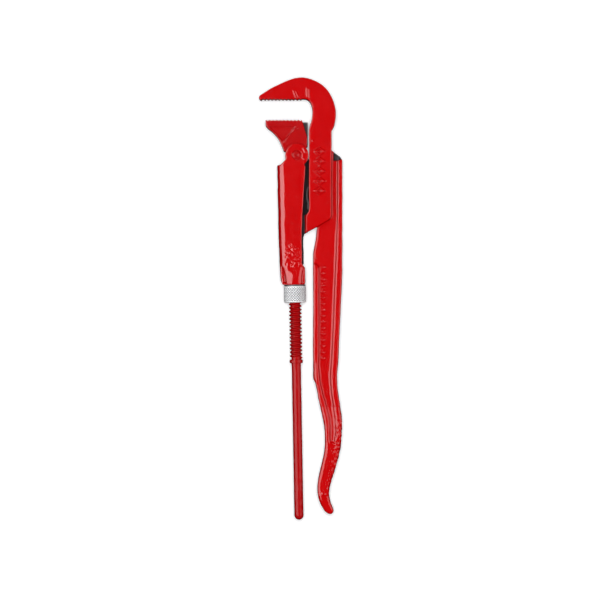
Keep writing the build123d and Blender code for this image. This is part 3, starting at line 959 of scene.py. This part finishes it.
        # Painted shade: faces of the tongue, deep in the slot, take the dark finish. The faces of the rib's
        # slanted end take it too.
        ramp = Panel(self.ramp_corners(), 1.0, 0.1 * MM)
        for face in bm.faces:
            middle = face.calc_center_median()
            in_slot = abs(middle.z - MID_HEIGHT) < self.tongue_half
            beside = middle.x < PIVOT.x + self.tongue_out
            on_tongue = in_slot and beside and abs(middle.y - PIVOT.y) < self.tongue_reach
            face.material_index = int(on_tongue or ramp.holds(middle))
        materials = [self.finishes.forged, self.finishes.dark_steel_and_shade]
        add_piece(bm, "hook_leg_forging", Body.HOOK, materials, ["hook_leg"])
        for node in ("leaf_spring", "spring_rivet"):
            dress_node(node, self.finishes.dark_steel_and_shade)


@dataclass
class ThreadedLeg:
    """The round leg: fork, thread and plain grip, with its pin and stop ring."""

    finishes: Finishes
    voxel: float = 0.42 * MM
    most_triangles: int = 160_000

    def build(self) -> None:
        """Skins the leg and dresses its small pieces."""
        bm = evaluated(cad_copy("threaded_leg"), "REMESH", mode="VOXEL", voxel_size=fineness(self.voxel))
        smooth_where(bm, 3, lambda co: True)
        apply_relief(bm, [Unevenness(9.0 * MM, 0.1 * MM)])
        bm = thin_out(bm, self.most_triangles)
        add_piece(bm, "threaded_leg_rod", Body.LEG, [self.finishes.turned], ["threaded_leg"])
        dress_node("thread_stop_ring", self.finishes.turned)
        dress_node("leg_pivot_pin", self.finishes.dark_steel_and_shade)


@dataclass
class JawSleeve:
    """The pressed channel that carries the lower jaw, with its rivet, washer and ring."""

    finishes: Finishes
    voxel: float = 0.45 * MM
    most_triangles: int = 170_000
    rivet_radius: float = 3.5 * MM
    head_radius: float = 4.8 * MM
    head_depth: float = 1.2 * MM
    channel_half: float = 7.3 * MM
    channel_margin: float = 0.5 * MM
    still_radius: float = 6.0 * MM
    seat_radius: float = 5.2 * MM

    def relief(self) -> list:
        """Returns the sleeve's relief: rounded socket, lumps above it and waviness."""
        middle = NUT_MIDDLE
        x, y = EYE.x, EYE.y
        lumps = Pebbles(
            (middle.x - 13.0 * MM, middle.y + 23.0 * MM), (middle.x + 9.0 * MM, middle.y + 52.0 * MM),
            3.4 * MM, 0.42 * MM,
        )
        chips = [
            Scar((x + 6.6 * MM, y + 6.2 * MM), (x + 8.4 * MM, y + 2.6 * MM), 0.7 * MM, 0.5 * MM),
            Scar((x + 6.6 * MM, y - 3.6 * MM), (x + 7.0 * MM, y - 4.0 * MM), 0.8 * MM, 0.5 * MM),
        ]
        socket = RoundedSocket(30.0 * MM, 14.0 * MM, 3.0 * MM, 10.5 * MM)
        return [socket, lumps, *chips, Unevenness(12.0 * MM, 0.3 * MM)]

    def rivet(self) -> bmesh.types.BMesh:
        """Returns the rivet: a raised ring and a dimple on each sunk head."""
        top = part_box("jaw_rivet")[1].z
        half = [
            (0.0, top - 0.75 * MM), (0.7 * MM, top - 0.7 * MM), (1.3 * MM, top - 0.35 * MM),
            (1.9 * MM, top - 0.05 * MM), (2.5 * MM, top), (3.1 * MM, top - 0.1 * MM),
            (3.6 * MM, top - 0.5 * MM), (4.0 * MM, top - 0.8 * MM), (4.5 * MM, top - 0.85 * MM),
            (self.head_radius, top - 0.7 * MM), (self.head_radius, top - self.head_depth),
            (self.rivet_radius, top - self.head_depth),
        ]
        lower = [(radius, 2 * MID_HEIGHT - height) for radius, height in reversed(half)]
        bm = turned(half + lower, 48)
        bmesh.ops.translate(bm, verts=bm.verts, vec=(EYE.x, EYE.y, 0.0))
        return bm

    def build(self) -> None:
        """Skins and presses the sleeve, turns the rivet and dresses the rest."""
        bm = evaluated(cad_copy("jaw_sleeve"), "REMESH", mode="VOXEL", voxel_size=fineness(self.voxel))
        rounds = 8
        smooth_where(bm, rounds, lambda co: (co - EYE).xy.length > self.still_radius)
        apply_relief(bm, self.relief(), lambda co: (co - EYE).xy.length > self.seat_radius)
        bm = thin_out(bm, self.most_triangles)
        # Painted shade: the channel's inner faces and the far cheek's edge take the dark finish.
        for face in bm.faces:
            height = face.calc_center_median().z - MID_HEIGHT
            far_edge = height < -self.channel_half and face.normal.z > -0.5
            facing_in = face.normal.z * height < -0.3 * abs(height)
            inside = abs(height) < self.channel_half + self.channel_margin and facing_in
            face.material_index = int(inside or far_edge)
        materials = [self.finishes.pressed, self.finishes.dark_steel_and_shade]
        add_piece(bm, "jaw_sleeve_pressing", Body.SLEEVE, materials, ["jaw_sleeve"])
        turned_red = [self.finishes.turned]
        add_piece(self.rivet(), "jaw_rivet_peened", Body.SLEEVE, turned_red, ["jaw_rivet"])
        for node in ("thrust_washer", "nut_retaining_ring"):
            dress_node(node, self.finishes.dark_steel_and_shade)


@dataclass
class LowerJaw:
    """The toothed jaw, painted in front and bare where it guides on the shank."""

    finishes: Finishes
    voxel: float = 0.36 * MM
    most_triangles: int = 140_000
    face_height: float = 34.7 * MM
    guide_start: float = 4.9 * MM
    guide_half: float = 3.65 * MM
    tooth_root: float = 2.3 * MM
    bare_start: float = 14.0 * MM

    def relief(self) -> list:
        """Returns the jaw's relief: a sunk web under the toothed bar, a crease and waviness."""
        x, y = EYE.x, EYE.y
        web = Panel(
            (
                (x - 27.0 * MM, y + 28.2 * MM), (x - 12.2 * MM, y + 12.2 * MM),
                (x - 7.0 * MM, y + 20.2 * MM), (x + 0.4 * MM, y + 27.6 * MM),
            ),
            -0.9 * MM, 0.8 * MM,
        )
        crease = [
            Scar((x - 12.0 * MM, y + 13.2 * MM), (x - 6.4 * MM, y + 20.4 * MM), 0.7 * MM, 0.45 * MM),
            Scar((x - 6.4 * MM, y + 20.4 * MM), (x + 0.6 * MM, y + 26.0 * MM), 0.7 * MM, 0.5 * MM),
            Scar((x - 4.0 * MM, y + 24.2 * MM), (x - 2.4 * MM, y + 25.2 * MM), 0.8 * MM, 0.5 * MM),
        ]
        return [web, *crease, Unevenness(9.0 * MM, 0.16 * MM)]

    def build(self) -> None:
        """Skins the jaw, carves it, bares its guide and gives the guide's lower part painted shade."""
        bm = evaluated(cad_copy("lower_jaw"), "REMESH", mode="VOXEL", voxel_size=fineness(self.voxel))
        root = EYE.y + self.face_height - self.tooth_root
        guide = EYE.x + self.guide_start

        def is_plain(co: Vector) -> bool:
            """Tells whether a point is neither on the teeth nor on the ground guide."""
            return co.y < root and co.x < guide

        smooth_where(bm, 1, lambda co: not is_plain(co))
        smooth_where(bm, 8, is_plain)
        apply_relief(bm, self.relief(), is_plain)
        bm = thin_out(bm, self.most_triangles)
        for face in bm.faces:
            middle = face.calc_center_median()
            # The guide is bare steel above bare_start; below it, the dark finish is painted shade.
            on_guide = middle.x > guide and abs(middle.z - MID_HEIGHT) < self.guide_half
            if on_guide:
                face.material_index = 1 if middle.y > EYE.y + self.bare_start else 2
        materials = [self.finishes.shaded, self.finishes.bare, self.finishes.dark_steel_and_shade]
        add_piece(bm, "lower_jaw_forging", Body.JAW, materials, ["lower_jaw"])


@dataclass
class AdjustingNut:
    """The knurled nut with its neck, turned about the leg's axis."""

    finishes: Finishes
    bore: float = 6.3 * MM
    neck: float = 8.4 * MM
    radius: float = 10.8 * MM
    half_length: float = 8.05 * MM
    neck_top: float = 16.15 * MM
    chamfer: float = 1.0 * MM
    diamonds: int = 26
    diamond_length: float = 2.6 * MM
    depth: float = 0.55 * MM
    # Depths in the knurl's grooves that take the painted shade.
    dark_from: float = 0.95
    dark_to: float = 0.6
    rows: int = 60

    def profile(self) -> list[tuple[float, float]]:
        """Returns the section, with enough points along the rim for its knurl."""
        low, high = -self.half_length, self.half_length
        rim = [(self.radius, s) for s in sampled(low + self.chamfer, high - self.chamfer, self.rows)]
        inner = self.radius - self.chamfer
        return [
            (self.bore + 0.6 * MM, low), (inner, low), *rim, (inner, high), (self.neck, high),
            (self.neck, self.neck_top), (self.bore, self.neck_top), (self.bore, low + 0.6 * MM),
        ]

    def knurl(self, bm: bmesh.types.BMesh) -> None:
        """Cuts two crossing sets of grooves into the rim, leaving diamonds.

        Args:
            bm: The turned nut, about Z.
        """
        for vert in bm.verts:
            radius = vert.co.xy.length
            inset = self.half_length - self.chamfer - abs(vert.co.z)
            if radius < self.radius - 0.1 * MM or inset < -1e-6:
                continue
            turn = math.atan2(vert.co.y, vert.co.x) / (2 * math.pi) * self.diamonds
            rise = vert.co.z / self.diamond_length
            left, right = (turn + rise) % 1.0, (turn - rise) % 1.0
            ridge = 1.0 - max(abs(2 * left - 1), abs(2 * right - 1))
            cut = self.depth * (1.0 - min(1.0, 1.7 * ridge)) * min(1.0, 0.35 + inset / (0.8 * MM))
            vert.co.xy *= (radius - cut) / radius

    def build(self) -> None:
        """Turns, knurls and places the nut."""
        bm = turned(self.profile(), self.diamonds * 8)
        self.knurl(bm)
        # Painted shade: faces deep in the knurl's grooves take the near-black colour.
        for face in bm.faces:
            radius = face.calc_center_median().xy.length
            deepest = self.radius - self.dark_from * self.depth
            in_groove = deepest < radius < self.radius - self.dark_to * self.depth
            face.material_index = int(in_groove and abs(face.normal.z) < 0.95)
        lean = Vector((0, 0, 1)).rotation_difference(LEG_UP).to_matrix().to_4x4()
        bmesh.ops.transform(bm, matrix=Matrix.Translation(NUT_MIDDLE) @ lean, verts=bm.verts)
        materials = [self.finishes.zinc, self.finishes.grooves]
        add_piece(bm, "adjusting_nut_knurled", Body.NUT, materials, ["adjusting_nut"])


# ---------------------------------------------------------------- studio


@dataclass
class Studio:
    """Camera, soft lights, surroundings and the pale floor."""

    middle: tuple = (-0.0006, -0.0011)
    picture_width: float = 0.584
    camera_height: float = 2.2
    sensor: float = 36.0
    wall_glow: float = 0.06
    floor_size: float = 3.0
    floor_drop: float = 0.6 * MM

    def camera(self) -> None:
        """Sets the camera straight above the wrench."""
        data = bpy.data.cameras.new("camera")
        data.sensor_width = self.sensor
        data.lens = self.sensor * (self.camera_height - MID_HEIGHT) / self.picture_width
        camera = bpy.data.objects.new("camera", data)
        camera.location = (*self.middle, self.camera_height)
        bpy.context.scene.collection.objects.link(camera)
        bpy.context.scene.camera = camera

    @staticmethod
    def softbox(name: str, place: tuple, size: tuple, power: float, mirrored: bool) -> None:
        """Adds an area light that faces the wrench.

        Args:
            name: The light's name.
            place: Its position, in metres.
            size: Its width and length, in metres.
            power: Its power, in watts.
            mirrored: Whether it only shows in shiny surfaces, or else only lights them.
        """
        data = bpy.data.lights.new(name, "AREA")
        data.shape, data.size, data.size_y, data.energy = "RECTANGLE", *size, power
        light = bpy.data.objects.new(name, data)
        light.location = place
        light.rotation_mode = "QUATERNION"
        light.rotation_quaternion = (-Vector(place)).to_track_quat("-Z", "Y")
        light.visible_glossy = mirrored
        light.visible_diffuse = not mirrored
        bpy.context.scene.collection.objects.link(light)

    def lights(self) -> None:
        """Lights the wrench from above, and sets boxes at three sides that shine in its gloss."""
        self.softbox("overhead", (0.0, 0.1, 2.0), (0.9, 0.9), 42.0, False)
        self.softbox("left_wall", (-1.0, 0.1, 1.0), (1.3, 1.7), 35.0, True)
        self.softbox("right_box", (1.05, 0.05, 0.75), (0.7, 1.5), 8.0, True)
        self.softbox("far_box", (-0.2, 1.3, 0.75), (0.9, 0.3), 3.0, True)

    def surroundings(self) -> None:
        """Lights the scene with white walls that shiny surfaces don't show."""
        world = bpy.data.worlds.new("studio")
        bpy.context.scene.world = world
        world.use_nodes = True
        walls = world.node_tree.nodes["Background"]
        walls.inputs["Color"].default_value = (1.0, 1.0, 1.0, 1.0)
        walls.inputs["Strength"].default_value = self.wall_glow
        world.cycles_visibility.glossy = False

    def floor(self) -> None:
        """Lays the pale floor."""
        bm = bmesh.new()
        bmesh.ops.create_grid(bm, x_segments=8, y_segments=8, size=self.floor_size)
        mesh = bpy.data.meshes.new("floor")
        bm.to_mesh(mesh)
        bm.free()
        mesh.transform(Matrix.Translation((0, 0, -self.floor_drop)))
        floor = bpy.data.objects.new("floor", mesh)
        mesh.materials.append(StudioPaper().build("studio_paper"))
        floor.visible_glossy = False
        floor.visible_diffuse = False
        bpy.context.scene.collection.objects.link(floor)

    def build(self) -> None:
        """Builds the whole studio."""
        bpy.context.scene.view_settings.view_transform = "Standard"
        self.camera()
        self.lights()
        self.surroundings()
        self.floor()


def main() -> None:
    """Builds the studio and each sub-assembly."""
    logging.basicConfig(level=logging.INFO, format="%(name)s %(message)s")
    noise.seed_set(11)
    Studio().build()
    finishes = Finishes(Effects())
    for assembly in (HookLeg, ThreadedLeg, JawSleeve, LowerJaw, AdjustingNut):
        assembly(finishes).build()


if __name__ == "__main__":
    main()
